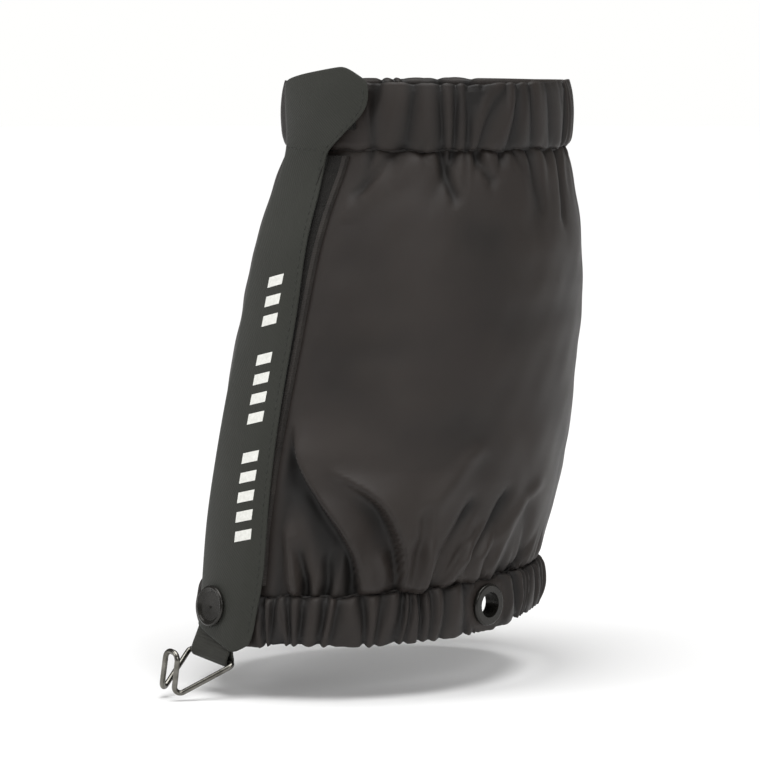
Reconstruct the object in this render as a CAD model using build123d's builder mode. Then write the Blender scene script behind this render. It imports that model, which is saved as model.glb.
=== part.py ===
"""A short front-opening hiking gaiter for one ankle, in millimetres.

The fabric tube stands on +Z, with the toe towards -Y and the outer side of the leg towards +X.
The origin is the centre of the boot opening, at the hem. Every fabric part is a layer of one smooth
form: a stack of ovals that leans back towards the top and flares forward over the laces.
"""

import os
from functools import cache
from math import cos, radians, sin

from build123d import *

# The tube
HEIGHT = 200.0
CUFF_HEIGHT = 24.0
HEM_HEIGHT = 18.5
HEM_PITCH = 2.3  # degrees by which the hem dips towards the toe
CUFF_BOTTOM = HEIGHT - CUFF_HEIGHT
# Height, half width across X, half depth along Y and centre in Y of the ovals of the inner form
OVALS = [
    (-16.0, 50.5, 67.5, -3.0),
    (-4.0, 50.7, 67.2, -1.1),
    (3.0, 50.6, 66.9, -0.3),
    (8.0, 50.5, 66.5, 0.0),
    (14.0, 50.2, 66.0, 0.1),
    (21.0, 50.2, 65.7, 0.5),
    (31.0, 51.3, 66.7, 2.5),
    (42.0, 53.1, 68.5, 5.7),
    (60.0, 55.0, 69.5, 10.1),
    (80.0, 55.8, 68.6, 13.8),
    (99.0, 56.0, 67.1, 17.1),
    (118.0, 55.9, 65.4, 20.2),
    (137.0, 55.3, 63.1, 22.9),
    (156.0, 52.6, 58.4, 25.2),
    (166.0, 50.1, 54.8, 26.3),
    (176.0, 48.3, 52.2, 27.0),
    (183.0, 48.2, 52.0, 27.1),
    (190.0, 48.5, 52.4, 27.0),
    (197.0, 48.7, 52.6, 27.0),
    (204.0, 48.7, 52.6, 27.0),
    (212.0, 48.5, 52.4, 27.0),
]

# Layers, as distances outwards from the inner form
CASING_OUT = 3.4
CASING_WALL = 0.9
ELASTIC = (1.0, 2.4)
FACING = (0.2, 0.95)
PANEL = (1.0, 2.2)
HOOK_TAPE = (2.3, 3.8)
LOOP_TAPE = (4.1, 5.7)
CUFF_HOOKS = (3.45, 4.4)
CUFF_LOOPS = (4.7, 5.7)
SEAM_TOP = 5.6
FLAP = (5.8, 7.0)
PRINT = (7.05, 7.2)
PATCH = (-0.6, -0.05)
GAP = 0.15  # between pieces that are sewn edge to edge
BIG = 150.0  # larger than the gaiter, for the regions that trim the layers

# The front opening, as distances across X from the centre of the shin
NEAR_EDGE = -11.0
FAR_EDGE = -12.5
CUFF_NEAR_EDGE = -3.0
CUFF_FAR_EDGE = -4.5
SEAM_EDGES = (-21.5, -17.6)
FLAP_SEWN_EDGE = -17.2
TAPE_START = -8.0
FLAP_FREE_TOP = 11.0
FLAP_FREE_MIDDLE = 15.0
FLAP_FREE_BOTTOM = 17.5
TAB_EDGE = 27.5
TAB_TOP = 206.5
TAPE_EDGE = 14.8
BINDING_EDGE = 16.5

# Print on the flap: where its lowest mark stands across X, and how far it moves per mm up the flap
PRINT_LOW_ACROSS = 9.0
PRINT_SLOPE = -0.06

# Elastic channels
CHANNEL_MARGIN = 1.6
ELASTIC_MARGIN = 2.0
CHANNEL_START = 9.5

# Snap fastener at the foot of the flap
SNAP_ACROSS = -4.0
SNAP_HEIGHT = 10.0
SNAP_LEAN = 7.0  # degrees by which the front of the hem leans back there
CAP_RADIUS = 7.5
SOCKET_RADIUS = 5.5
STUD_RADIUS = 2.1
RIVET_BORE = 3.7
RIVET_RADIUS = 4.2
POST_RADIUS = 1.6

# Eyelets for the instep cord
EYELET_ANGLE = 99.0  # degrees round the oval from the toe
EYELET_HEIGHT = 9.6
EYELET_BORE = 4.75
BARREL_RADIUS = 5.25
FLANGE_RADIUS = 7.75
FLANGE_SEAT = CASING_OUT - 0.5  # the eyelet is clenched into the hem
PATCH_SIZE = 22.0

# Lace hook and its webbing loop
WIRE_RADIUS = 1.0
HOOK_ACROSS = -4.0
HOOK_ROLL = 6.0  # degrees by which the hook's near end hangs lower
TAB_WIDTH = 21.0
TAB_PLY = 1.1
TAB_PIVOT = (-73.3, -3.4)  # Y and Z of the line where the webbing flexes
HOOK_PIVOT = (-73.0, -7.5)  # Y and Z of the wire's base bar
HOOK_DROP = 32.0  # degrees below level at which the wire points forward
HOOK_REACH = 23.2
BASE_HALF = 13.2
TIP_HALF = 3.7
TONGUE_HEIGHT = 16.0
TONGUE_LEAN = 0.07


def oval_at(height):
    """The half width, half depth and centre in Y of the inner form at a height."""
    low, high = next(pair for pair in zip(OVALS, OVALS[1:]) if pair[1][0] > height)
    share = (height - low[0]) / (high[0] - low[0])
    return [a + share * (b - a) for a, b in zip(low[1:], high[1:])]


@cache
def form(offset):
    """The inner form grown outwards by an offset."""
    with BuildPart() as solid:
        for height, half_width, half_depth, centre in OVALS:
            with BuildSketch(Plane.XY.offset(height)):
                with Locations((0, centre)):
                    Ellipse(half_width + offset, half_depth + offset)
        loft()
    return solid.part


@cache
def skin(inner, outer):
    """The layer of the form between two offsets."""
    with BuildPart() as solid:
        add(form(outer))
        add(form(inner), mode=Mode.SUBTRACT)
    return solid.part


def hem_plane(distance):
    """The plane of the hem's lower edge, moved up the leg by a distance."""
    return Plane(origin=(0, 0, 0), z_dir=(0, -sin(radians(HEM_PITCH)), cos(radians(HEM_PITCH)))).offset(distance)


def between(low_plane, high_plane):
    """The space between two near-level planes."""
    with BuildPart() as slab:
        Box(2 * BIG, 2 * BIG, 4 * BIG)
        split(bisect_by=low_plane, keep=Keep.TOP)
        split(bisect_by=high_plane, keep=Keep.BOTTOM)
    return slab.part


def near_side(front_edge, rear_edge):
    """The space on the near side of the front opening and of the rear seam."""
    with BuildPart() as space:
        with Locations((front_edge, 0, 0)):
            Box(BIG, BIG, 4 * BIG, align=(Align.MIN, Align.MAX, Align.CENTER))
        with Locations((rear_edge, 0, 0)):
            Box(BIG, BIG, 4 * BIG, align=(Align.MIN, Align.MIN, Align.CENTER))
    return space.part


def front_block(left, right, low, high):
    """The space in front of the leg between two values of X and two heights."""
    with BuildPart() as space:
        with BuildSketch(Plane.XZ):
            with Locations(((left + right) / 2, (low + high) / 2)):
                Rectangle(right - left, high - low)
        extrude(amount=BIG)
    return space.part


def trimmed(layer, *spaces):
    """A layer of the form cut to the space that all the given spaces share."""
    with BuildPart() as piece:
        add(skin(*layer))
        for space in spaces:
            add(space, mode=Mode.INTERSECT)
    return piece.part


def save(part, name):
    part.label = name
    export_step(part, f"parts/{name}.step")


body_slab = between(hem_plane(HEM_HEIGHT + GAP), Plane.XY.offset(CUFF_BOTTOM - GAP))
hem_slab = between(hem_plane(0), hem_plane(HEM_HEIGHT))
hem_channel = between(hem_plane(CHANNEL_MARGIN), hem_plane(HEM_HEIGHT - CHANNEL_MARGIN))
hem_band = between(hem_plane(ELASTIC_MARGIN), hem_plane(HEM_HEIGHT - ELASTIC_MARGIN))
cuff_slab = between(Plane.XY.offset(CUFF_BOTTOM), Plane.XY.offset(HEIGHT))
cuff_channel = between(Plane.XY.offset(CUFF_BOTTOM + CHANNEL_MARGIN), Plane.XY.offset(HEIGHT - CHANNEL_MARGIN))
cuff_band = between(Plane.XY.offset(CUFF_BOTTOM + ELASTIC_MARGIN), Plane.XY.offset(HEIGHT - ELASTIC_MARGIN))


# ---- Eyelets ------------------------------------------------------------------------------------


def eyelet_plane():
    """The plane on the inner form at the near eyelet, facing outwards."""
    half_width, half_depth, centre = oval_at(EYELET_HEIGHT)
    across = sin(radians(EYELET_ANGLE))
    along = -cos(radians(EYELET_ANGLE))
    normal = Vector(across / half_width, along / half_depth, 0)
    return Plane(
        origin=(half_width * across, centre + half_depth * along, EYELET_HEIGHT),
        x_dir=(0, 0, 1),
        z_dir=normal,
    )


def drum(plane, radius, low, high):
    """A cylinder on a plane's axis between two distances from it."""
    with BuildPart() as solid:
        with BuildSketch(plane.offset(low)):
            Circle(radius)
        extrude(amount=high - low)
    return solid.part


def grommet(plane):
    """The outer half of an eyelet: a domed flange on a barrel whose end is rolled over the washer."""
    with BuildPart() as solid:
        add(drum(plane, FLANGE_RADIUS, FLANGE_SEAT + 0.05, FLANGE_SEAT + 1.45))
        fillet(solid.edges().group_by(Axis(plane.origin, plane.z_dir))[-1], 0.9)
        add(drum(plane, BARREL_RADIUS, PATCH[0] - 1.4, FLANGE_SEAT + 1.0))
        add(drum(plane, BARREL_RADIUS + 1.1, PATCH[0] - 1.5, PATCH[0] - 0.9))
        add(drum(plane, EYELET_BORE, -BIG / 3, BIG / 3), mode=Mode.SUBTRACT)
    return solid.part


def grommet_washer(plane):
    """The inner half of an eyelet: a flat ring that the barrel is rolled over."""
    with BuildPart() as solid:
        add(drum(plane, FLANGE_RADIUS, PATCH[0] - 0.85, PATCH[0] - 0.05))
        fillet(solid.edges().group_by(Axis(plane.origin, plane.z_dir))[0], 0.25)
        add(drum(plane, BARREL_RADIUS + 0.02, -BIG / 3, BIG / 3), mode=Mode.SUBTRACT)
    return solid.part


def eyelet_patch(plane):
    """A square of backing fabric inside the hem, with the barrel through it."""
    with BuildPart() as solid:
        with BuildSketch(plane.offset(PATCH[0])):
            Rectangle(HEM_HEIGHT - 2, PATCH_SIZE)
            fillet(*[vertices()], 3)
        extrude(amount=PATCH[1] - PATCH[0])
        add(drum(plane, BARREL_RADIUS + 0.02, -BIG / 3, BIG / 3), mode=Mode.SUBTRACT)
    return solid.part


def pierced(piece, plane):
    """A hem piece with an eyelet's hole, and pressed flat where the backing lies against it."""
    with BuildPart() as solid:
        add(piece)
        add(drum(plane, BARREL_RADIUS + 0.05, -BIG / 3, BIG / 3), mode=Mode.SUBTRACT)
        add(drum(plane, FLANGE_RADIUS + 0.1, FLANGE_SEAT, BIG / 3), mode=Mode.SUBTRACT)
        with BuildSketch(plane.offset(-BIG / 10)):
            Rectangle(HEM_HEIGHT - 1.6, PATCH_SIZE + 0.4)
        extrude(amount=BIG / 10, mode=Mode.SUBTRACT)
    return solid.part


# ---- Snap fastener ------------------------------------------------------------------------------


def snap_plane():
    """The plane on the inner form behind the snap, facing the toe and a little up."""
    _, half_depth, centre = oval_at(SNAP_HEIGHT)
    return Plane(
        origin=(SNAP_ACROSS, centre - half_depth + 0.2, SNAP_HEIGHT),
        x_dir=(1, 0, 0),
        z_dir=(0, -cos(radians(SNAP_LEAN)), sin(radians(SNAP_LEAN))),
    )


def snap_stud(plane):
    """The male half: a base on the hem and a headed stud, bored for the post behind it."""
    base = CASING_OUT + 0.05
    with BuildPart() as solid:
        with BuildSketch(Plane(plane.origin, x_dir=(1, 0, 0), z_dir=plane.y_dir * -1)):
            with BuildLine():
                Polyline(
                    (0, base + 0.4),
                    (POST_RADIUS + 0.02, base + 0.4),
                    (POST_RADIUS + 0.02, base),
                    (SOCKET_RADIUS, base),
                    (SOCKET_RADIUS, base + 0.4),
                    (STUD_RADIUS + 0.8, base + 0.6),
                    (STUD_RADIUS - 0.4, base + 0.8),
                    (STUD_RADIUS - 0.4, base + 1.2),
                    (STUD_RADIUS, base + 1.5),
                    (STUD_RADIUS - 0.4, base + 2.1),
                    (0, base + 2.3),
                    close=True,
                )
            make_face()
        revolve(axis=Axis(plane.origin, plane.z_dir))
    return solid.part


def snap_post(plane):
    """The rivet that holds the stud: a flat head inside the hem and a shank through it."""
    with BuildPart() as solid:
        add(drum(plane, 4.5, -0.85, -0.05))
        fillet(solid.edges().group_by(Axis(plane.origin, plane.z_dir))[0], 0.3)
        add(drum(plane, POST_RADIUS, -0.5, CASING_OUT + 0.42))
    return solid.part


def snap_cap(plane):
    """The show cap: a dished disc with a raised rolled rim, on a hollow rivet through the flap."""
    seat = FLAP[1] + 0.1
    with BuildPart() as solid:
        with BuildSketch(Plane(plane.origin, x_dir=(1, 0, 0), z_dir=plane.y_dir * -1)):
            with BuildLine():
                outer = Polyline((0, seat + 0.5), (CAP_RADIUS - 2.2, seat + 0.65), (CAP_RADIUS - 1.4, seat + 1.25))
                rim = ThreePointArc(outer @ 1, (CAP_RADIUS - 0.6, seat + 1.6), (CAP_RADIUS, seat + 0.7))
                Polyline(
                    rim @ 1,
                    (CAP_RADIUS - 0.5, seat),
                    (RIVET_RADIUS, seat),
                    (RIVET_RADIUS, LOOP_TAPE[0] + 0.55),
                    (RIVET_BORE, LOOP_TAPE[0] + 0.55),
                    (RIVET_BORE, seat - 0.1),
                    (0, seat - 0.05),
                    (0, seat + 0.5),
                )
            make_face()
        revolve(axis=Axis(plane.origin, plane.z_dir))
    return solid.part


def snap_socket(plane):
    """The female half behind the flap: a ring round the rivet, with a groove for its spring."""
    low = LOOP_TAPE[0] + 0.5
    high = FLAP[0] - 0.25
    with BuildPart() as solid:
        add(drum(plane, SOCKET_RADIUS, low, high))
        chamfer(solid.edges().group_by(Axis(plane.origin, plane.z_dir))[0], 0.2)
        add(drum(plane, RIVET_RADIUS + 0.02, -BIG / 3, BIG / 3), mode=Mode.SUBTRACT)
    return solid.part


# ---- Flap ---------------------------------------------------------------------------------------


def flap_prism():
    """The flap seen from the front: a strip that narrows upwards and ends in a rounded pull tab."""
    with BuildPart() as prism:
        with BuildSketch(Plane.XZ):
            with BuildLine():
                edge = Polyline(
                    (FLAP_SEWN_EDGE, 2.5),
                    (FLAP_FREE_BOTTOM - 6, -0.6),
                    (FLAP_FREE_BOTTOM - 2.5, 1.0),
                    (FLAP_FREE_BOTTOM, 25),
                    (FLAP_FREE_MIDDLE, 100),
                    (FLAP_FREE_TOP, CUFF_BOTTOM - 4),
                    (TAB_EDGE - 3, CUFF_BOTTOM + 12),
                )
                nose = TangentArc(edge @ 1, (TAB_EDGE - 0.5, HEIGHT - 2), tangent=edge % 1)
                crown = TangentArc(nose @ 1, (TAB_EDGE - 11, TAB_TOP), tangent=nose % 1)
                Polyline(
                    crown @ 1,
                    (TAB_EDGE - 15, TAB_TOP),
                    (FLAP_SEWN_EDGE, HEIGHT + 1),
                    (FLAP_SEWN_EDGE, 2.5),
                )
            make_face()
        extrude(amount=BIG)
    return prism.part


def flap_shape(plane):
    """The flap's cloth, with the snap's hole and the flats that its two halves clamp."""
    with BuildPart() as solid:
        add(skin(*FLAP))
        add(flap_prism(), mode=Mode.INTERSECT)
        add(drum(plane, RIVET_RADIUS + 0.05, 0, BIG / 3), mode=Mode.SUBTRACT)
        add(drum(plane, CAP_RADIUS + 0.2, FLAP[1] + 0.05, BIG / 3), mode=Mode.SUBTRACT)
        add(drum(plane, SOCKET_RADIUS + 0.2, 0, FLAP[0] - 0.2), mode=Mode.SUBTRACT)
    return solid.part


def print_marks():
    """Slanted bars of printed ink down the middle of the flap, in three plain groups."""
    bar_pitch = 7.0
    bar_height = 3.8
    half_width = 3.5
    slant = 1.8
    first = 36.0
    with BuildPart() as bars:
        with BuildSketch(Plane.XZ):
            for number in range(14):
                if number in (5, 10):
                    continue
                low = first + number * bar_pitch
                left = PRINT_LOW_ACROSS + PRINT_SLOPE * (low - first) - half_width
                right = left + 2 * half_width
                with BuildLine():
                    Polyline(
                        (left, low),
                        (right, low + slant),
                        (right, low + slant + bar_height),
                        (left, low + bar_height),
                        close=True,
                    )
                make_face()
        extrude(amount=BIG)
    return trimmed(PRINT, bars.part)


# ---- Lace hook ----------------------------------------------------------------------------------


def rolled(part):
    """A piece of the hook, drawn centred on X = 0, moved to its place and rolled about the Y direction."""
    place = Location((HOOK_ACROSS, 0, HOOK_PIVOT[1]), (0, HOOK_ROLL, 0))
    return part.moved(place * Location((0, 0, -HOOK_PIVOT[1])))


def lace_hook():
    """One wire, bent to a triangle whose two legs turn up together into a rounded tongue."""
    y, z = HOOK_PIVOT
    tip_y = y - HOOK_REACH * cos(radians(HOOK_DROP))
    tip_z = z - HOOK_REACH * sin(radians(HOOK_DROP))
    top_y = tip_y + TONGUE_LEAN * TONGUE_HEIGHT
    top_z = tip_z + TONGUE_HEIGHT
    with BuildPart() as wire:
        with BuildLine() as path:
            FilletPolyline(
                (0.25, y, z),
                (BASE_HALF, y, z),
                (TIP_HALF, tip_y, tip_z),
                (TIP_HALF - 0.2, top_y, top_z),
                (0.2 - TIP_HALF, top_y, top_z),
                (-TIP_HALF, tip_y, tip_z),
                (-BASE_HALF, y, z),
                (-0.25, y, z),
                radius=[1.6, 2.2, 3.0, 3.0, 2.2, 1.6],
            )
        with BuildSketch(Plane(path.line @ 0, z_dir=path.line % 0)):
            Circle(WIRE_RADIUS)
        sweep(path=path.line)
    return wire.part


def tab_loop():
    """The free part of the webbing: both plies run down from the flex line and fold round the wire."""
    with BuildPart() as loop:
        with BuildSketch(Plane.YZ.offset(-TAB_WIDTH / 2)):
            with BuildLine():
                CenterArc(TAB_PIVOT, TAB_PLY, 0, 360)
                CenterArc(HOOK_PIVOT, WIRE_RADIUS + TAB_PLY + 0.1, 0, 360)
            make_hull()
            with Locations(HOOK_PIVOT):
                Circle(WIRE_RADIUS + 0.07, mode=Mode.SUBTRACT)
        extrude(amount=TAB_WIDTH)
    return loop.part


# ---- The two halves -----------------------------------------------------------------------------
# Each half is drawn on the near side from its own front edge, and the far one is mirrored.


def panel(front_edge):
    """Half of the body fabric."""
    return trimmed(PANEL, body_slab, near_side(front_edge, GAP))


def cuff(front_edge):
    """Half of the folded casing round the top, hollow for its elastic."""
    with BuildPart() as casing:
        add(trimmed((0.0, CASING_OUT), cuff_slab, near_side(front_edge, GAP)))
        add(
            trimmed((CASING_WALL, CASING_OUT - CASING_WALL), cuff_channel, near_side(front_edge + 1.2, -GAP)),
            mode=Mode.SUBTRACT,
        )
    return casing.part


def cuff_elastic(front_edge):
    return trimmed(ELASTIC, cuff_band, near_side(front_edge + 1.6, 2 * GAP))


def hem(front_edge, channel_start, eyelet):
    """Half of the folded casing round the boot opening, hollow for its elastic."""
    with BuildPart() as casing:
        add(trimmed((0.0, CASING_OUT), hem_slab, near_side(front_edge, GAP)))
        add(
            trimmed((CASING_WALL, CASING_OUT - CASING_WALL), hem_channel, near_side(channel_start, -GAP)),
            mode=Mode.SUBTRACT,
        )
    return pierced(casing.part, eyelet)


def hem_elastic(channel_start, eyelet):
    return pierced(trimmed(ELASTIC, hem_band, near_side(channel_start + 0.5, 2 * GAP)), eyelet)


def mirrored(part):
    with BuildPart() as other:
        add(mirror(part, about=Plane.YZ))
    return other.part


def build():
    os.makedirs("parts", exist_ok=True)
    eyelet, snap = eyelet_plane(), snap_plane()

    # Near half
    save(panel(NEAR_EDGE), "near_panel")
    save(cuff(CUFF_NEAR_EDGE), "near_cuff")
    save(cuff_elastic(CUFF_NEAR_EDGE), "near_cuff_elastic")
    with BuildPart() as near_hem:
        add(hem(NEAR_EDGE, CHANNEL_START, eyelet))
        add(drum(snap, POST_RADIUS + 0.05, -BIG / 3, BIG / 3), mode=Mode.SUBTRACT)
        add(drum(snap, 4.7, -BIG / 3, 0), mode=Mode.SUBTRACT)
        add(drum(snap, SOCKET_RADIUS + 0.1, CASING_OUT, BIG / 3), mode=Mode.SUBTRACT)
    save(near_hem.part, "near_hem")
    save(hem_elastic(CHANNEL_START, eyelet), "near_hem_elastic")

    # Far half
    save(mirrored(panel(-FAR_EDGE)), "far_panel")
    save(mirrored(cuff(-CUFF_FAR_EDGE)), "far_cuff")
    save(mirrored(cuff_elastic(-CUFF_FAR_EDGE)), "far_cuff_elastic")
    save(mirrored(hem(-FAR_EDGE, 2.0 - FAR_EDGE, eyelet)), "far_hem")
    save(mirrored(hem_elastic(2.0 - FAR_EDGE, eyelet)), "far_hem_elastic")

    # Eyelets
    for name, shape in (
        ("grommet", grommet(eyelet)),
        ("grommet_washer", grommet_washer(eyelet)),
        ("eyelet_patch", eyelet_patch(eyelet)),
    ):
        save(shape, f"near_{name}")
        save(mirrored(shape), f"far_{name}")

    # Front of the near half, behind the flap
    tape_low = HEM_HEIGHT + 1.5
    tape_high = CUFF_BOTTOM - 2.0
    cuff_low = CUFF_BOTTOM + 2.5
    cuff_high = HEIGHT - 2.5
    save(trimmed(FACING, front_block(NEAR_EDGE, TAPE_EDGE, tape_low, tape_high)), "front_facing")
    save(trimmed(HOOK_TAPE, front_block(NEAR_EDGE + 1, TAPE_EDGE, tape_low, tape_high)), "hook_tape")
    binding_block = front_block(TAPE_EDGE + 0.1, BINDING_EDGE, tape_low, tape_high)
    save(trimmed(HOOK_TAPE, binding_block), "placket_binding")
    cuff_block = front_block(CUFF_NEAR_EDGE + 1, TAB_EDGE - 8, cuff_low + 5, cuff_high)
    save(trimmed(CUFF_HOOKS, cuff_block), "cuff_hook_patch")
    save(snap_stud(snap), "snap_stud")
    save(snap_post(snap), "snap_post")

    with BuildPart() as rear_block:
        Box(9, BIG, 4 * BIG, align=(Align.CENTER, Align.MIN, Align.CENTER))
    rear_slab = between(hem_plane(1.0), Plane.XY.offset(HEIGHT - 1.0))
    save(trimmed(PATCH, rear_block.part, rear_slab), "rear_seam_binding")

    # Flap
    seam_foot = front_block(*SEAM_EDGES, -1.0, HEIGHT - 0.5)
    seam_body = front_block(*SEAM_EDGES, tape_low + 0.3, CUFF_BOTTOM - 1)
    with BuildPart() as flap_seam:
        add(trimmed((CASING_OUT + 0.1, SEAM_TOP), seam_foot))
        add(trimmed((PANEL[1] + 0.1, SEAM_TOP), seam_body))
    save(flap_seam.part, "flap_seam")
    save(flap_shape(snap), "flap")
    loop_block = front_block(TAPE_START, FLAP_FREE_TOP - 1.5, tape_low + 2, tape_high)
    save(trimmed(LOOP_TAPE, loop_block), "loop_tape")
    save(trimmed(CUFF_LOOPS, cuff_block), "cuff_loop_patch")
    save(snap_cap(snap), "snap_cap")
    save(snap_socket(snap), "snap_socket")
    save(print_marks(), "flap_print")

    # Lace hook
    anchor_block = rolled(front_block(-TAB_WIDTH / 2, TAB_WIDTH / 2, TAB_PIVOT[1] + TAB_PLY + 0.35, 3.6))
    save(trimmed((CASING_OUT + 0.1, CASING_OUT + 0.1 + 1.8 * TAB_PLY), anchor_block), "hook_tab_anchor")
    save(rolled(tab_loop()), "hook_tab_loop")
    save(rolled(lace_hook()), "lace_hook")


build()
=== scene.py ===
"""A low ankle gaiter: gathered nylon halves, a front flap over hook tape, a snap, eyelets and a lace hook.

Lengths are in millimetres until a mesh is made, where MM turns them into metres.
"""

import random

import bmesh
import bpy
import numpy as np
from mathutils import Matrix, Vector


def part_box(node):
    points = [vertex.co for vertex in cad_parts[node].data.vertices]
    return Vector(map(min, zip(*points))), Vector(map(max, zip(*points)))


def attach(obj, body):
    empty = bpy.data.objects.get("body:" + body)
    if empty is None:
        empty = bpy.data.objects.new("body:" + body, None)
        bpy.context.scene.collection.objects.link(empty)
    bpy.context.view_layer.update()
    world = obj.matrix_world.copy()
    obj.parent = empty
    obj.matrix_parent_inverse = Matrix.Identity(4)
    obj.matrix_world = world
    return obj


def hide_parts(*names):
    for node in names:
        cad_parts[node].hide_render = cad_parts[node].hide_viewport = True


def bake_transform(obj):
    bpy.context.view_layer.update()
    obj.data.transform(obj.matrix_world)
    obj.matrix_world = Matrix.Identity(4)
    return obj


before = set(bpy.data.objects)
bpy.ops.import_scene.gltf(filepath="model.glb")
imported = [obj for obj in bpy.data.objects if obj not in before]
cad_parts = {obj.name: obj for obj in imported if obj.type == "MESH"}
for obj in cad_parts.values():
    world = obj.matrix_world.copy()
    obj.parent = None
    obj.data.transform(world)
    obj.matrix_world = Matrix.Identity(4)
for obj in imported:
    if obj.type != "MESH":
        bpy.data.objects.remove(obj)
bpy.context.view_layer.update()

MM = 0.001

# The shape of the leg and boot top: height, half width, half depth, and the middle's y.
OVALS = (
    (-16, 50.5, 67.5, -3),
    (8, 50.5, 66.5, 0),
    (21, 50.2, 65.7, 0.5),
    (42, 53.1, 68.5, 5.7),
    (80, 55.8, 68.6, 13.8),
    (118, 55.9, 65.4, 20.2),
    (156, 52.6, 58.4, 25.2),
    (176, 48.3, 52.2, 27),
    (190, 48.5, 52.4, 27),
    (212, 48.5, 52.4, 27),
)

# The heights of the ovals that the form is built through, closer together where it bends.
FORM_HEIGHTS = (-16, -4, 3, 8, 14, 21, 31, 42, 60, 80, 99, 118, 137, 156, 166, 176, 183, 190, 197, 204, 212)

# The two lines of stitches, and how far each casing reaches from its line.
CUFF_LINE = 176.0
CUFF_HEIGHT = 24.0
HEM_LINE = 18.5
HEM_HEIGHT = 18.5
HEM_SLOPE = np.tan(np.radians(2.3))

# The elastics: the middle of their thickness, out from the leg, and the x where the far ones begin.
ELASTIC_OUT = 1.7
ELASTIC_THICK = 1.4
ELASTIC_MARGIN = 2.0
FAR_CUFF_ELASTIC_FRONT = -6.1
FAR_HEM_ELASTIC_FRONT = -15.0

# Thicknesses, and how far out the cloth's faces lie.
CLOTH = 0.4
PANEL_OUT = 2.15
FLAP_OUT = 6.75
FLAP_THICK = 0.9

# The x of each piece's front edge.
NEAR_FRONT = -11.0
FAR_FRONT = -12.5
NEAR_CUFF_FRONT = -3.0
FAR_CUFF_FRONT = -4.5
NEAR_HEM_FRONT = -11.0
FAR_HEM_FRONT = -12.5
FLAP_LEFT = -21.0

# The eyelet: degrees round from the toe, its middle's height, and the hole and flat round it.
EYELET_ANGLE = 99.0
EYELET_HEIGHT = 9.6
EYELET_BORE = 5.3
EYELET_FLAT = 9.0

# The wire bar that the webbing folds round.
BAR_CENTRE = (-4.0, -73.0, -7.5)
BAR_ROLL = np.radians(6.0)
WEBBING_WIDTH = 21.0


# ---------------------------------------------------------------- curves and noise


def natural_spline(points):
    """A function that passes smoothly through (x, y) points, and is straight at its ends."""
    xs, ys = np.array(points, float).T
    count = len(xs)
    gaps = np.diff(xs)
    matrix = np.zeros((count, count))
    right = np.zeros(count)
    matrix[0, 0] = matrix[-1, -1] = 1
    for i in range(1, count - 1):
        matrix[i, i - 1 : i + 2] = gaps[i - 1], 2 * (gaps[i - 1] + gaps[i]), gaps[i]
        right[i] = 6 * ((ys[i + 1] - ys[i]) / gaps[i] - (ys[i] - ys[i - 1]) / gaps[i - 1])
    bend = np.linalg.solve(matrix, right)

    def at(x):
        x = np.clip(x, xs[0], xs[-1])
        i = np.clip(np.searchsorted(xs, x) - 1, 0, count - 2)
        before, after, gap = x - xs[i], xs[i + 1] - x, gaps[i]
        curve = (bend[i] * after**3 + bend[i + 1] * before**3) / (6 * gap)
        line = (ys[i] / gap - bend[i] * gap / 6) * after
        return curve + line + (ys[i + 1] / gap - bend[i + 1] * gap / 6) * before

    return at


def smooth(value, low, high):
    """0 below low, 1 above high, and smooth between them."""
    t = np.clip((value - low) / (high - low), 0, 1)
    return t * t * (3 - 2 * t)


def ripple(across, up, rng, wavelength, height, count=9):
    """Soft uneven waves in cloth, as a sum of sines in scattered directions."""
    total = np.zeros(np.broadcast(across, up).shape)
    for _ in range(count):
        angle = rng.uniform(0, np.pi)
        length = wavelength * rng.uniform(0.7, 1.6)
        phase = rng.uniform(0, 2 * np.pi)
        total = total + np.sin(2 * np.pi * (across * np.cos(angle) + up * np.sin(angle)) / length + phase)
    return total * height / np.sqrt(count)


# ---------------------------------------------------------------- the form

def form_measure(column):
    """One measure of the form by height, through the ovals and rounded to a tenth of a millimetre."""
    between = natural_spline([(row[0], row[column]) for row in OVALS])
    return natural_spline([(height, round(float(between(height)), 1)) for height in FORM_HEIGHTS])


half_width = form_measure(1)
half_depth = form_measure(2)
middle_y = form_measure(3)


def on_form(angle, height, out):
    """The point at an angle from the toe towards +X, at a height, and out from the leg."""
    width, depth = half_width(height), half_depth(height)
    across, along = np.sin(angle) / width, -np.cos(angle) / depth
    length = np.hypot(across, along)
    x = width * np.sin(angle) + out * across / length
    y = middle_y(height) - depth * np.cos(angle) + out * along / length
    return np.stack(np.broadcast_arrays(x, y, height + 0.0 * x), axis=-1)


def angle_at(x, height, out):
    """The angle on the front of the form where a layer has this x."""
    return np.arcsin(np.clip(x / (half_width(height) + out), -1, 1))


def arc_at(height):
    """A function from an angle to the distance around the form from the toe, at a height."""
    angles = np.linspace(-np.pi, np.pi, 721)
    middle = (angles[1:] + angles[:-1]) / 2
    steps = np.hypot(half_width(height) * np.cos(middle), half_depth(height) * np.sin(middle))
    arcs = np.concatenate([[0], np.cumsum(steps * np.diff(angles))])
    arcs = arcs - np.interp(0, angles, arcs)
    return lambda angle: np.interp(angle, angles, arcs)


arc_cuff = arc_at(CUFF_LINE)
arc_body = arc_at(90.0)
arc_hem = arc_at(HEM_LINE)


def seam_wave(arc):
    """How a line of stitches wanders up and down as the elastic draws it in."""
    return 0.4 * np.sin(arc / 1.9 + 1.3 * np.sin(arc / 17.0)) + 0.3 * np.sin(arc / 4.7 + 2.0)


def hem_lift(angle):
    """How far the pitched hem line rises or falls at an angle."""
    return (middle_y(HEM_LINE) - half_depth(HEM_LINE) * np.cos(angle)) * HEM_SLOPE


# ---------------------------------------------------------------- folds


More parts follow.
